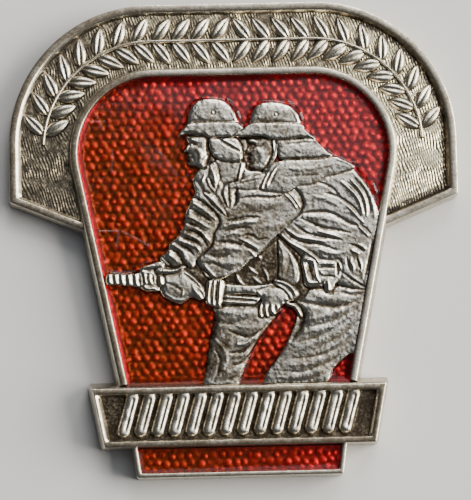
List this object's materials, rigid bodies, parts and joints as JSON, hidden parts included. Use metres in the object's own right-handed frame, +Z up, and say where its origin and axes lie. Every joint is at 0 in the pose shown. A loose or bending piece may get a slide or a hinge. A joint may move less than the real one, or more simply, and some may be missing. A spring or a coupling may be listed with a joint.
{
  "type": "firefighter badge",
  "caption": "Lapel badge: arched metal band behind a red-enamelled shield with firefighters in relief, a fluted bar across its foot and a small enamelled tag.",
  "frame": {"origin": "centre of the badge's outline on the surface it lies on, under the rim of its hollow back", "axes": "+Z up out of the face, +Y towards the top of the band, +X to the right as the face is looked at"},
  "size_m": [0.04, 0.0424, 0.0032],
  "materials": {
    "cast_metal": "cast metal with a worn silver plating and dark hollows",
    "relief_metal": "cast relief, rubbed bright on its high places and dark between the folds",
    "red_enamel": "clear deep red glass enamel over a pebbled ground",
    "pin_steel": "plain steel wire and blocks"
  },
  "bodies": {
    "root": {"badge_body": "cast_metal", "firefighters": "relief_metal", "enamel_field": "red_enamel", "enamel_leg_gap": "red_enamel", "enamel_corner": "red_enamel", "enamel_tag": "red_enamel", "back_pin": "pin_steel"}
  },
  "joints": []
}
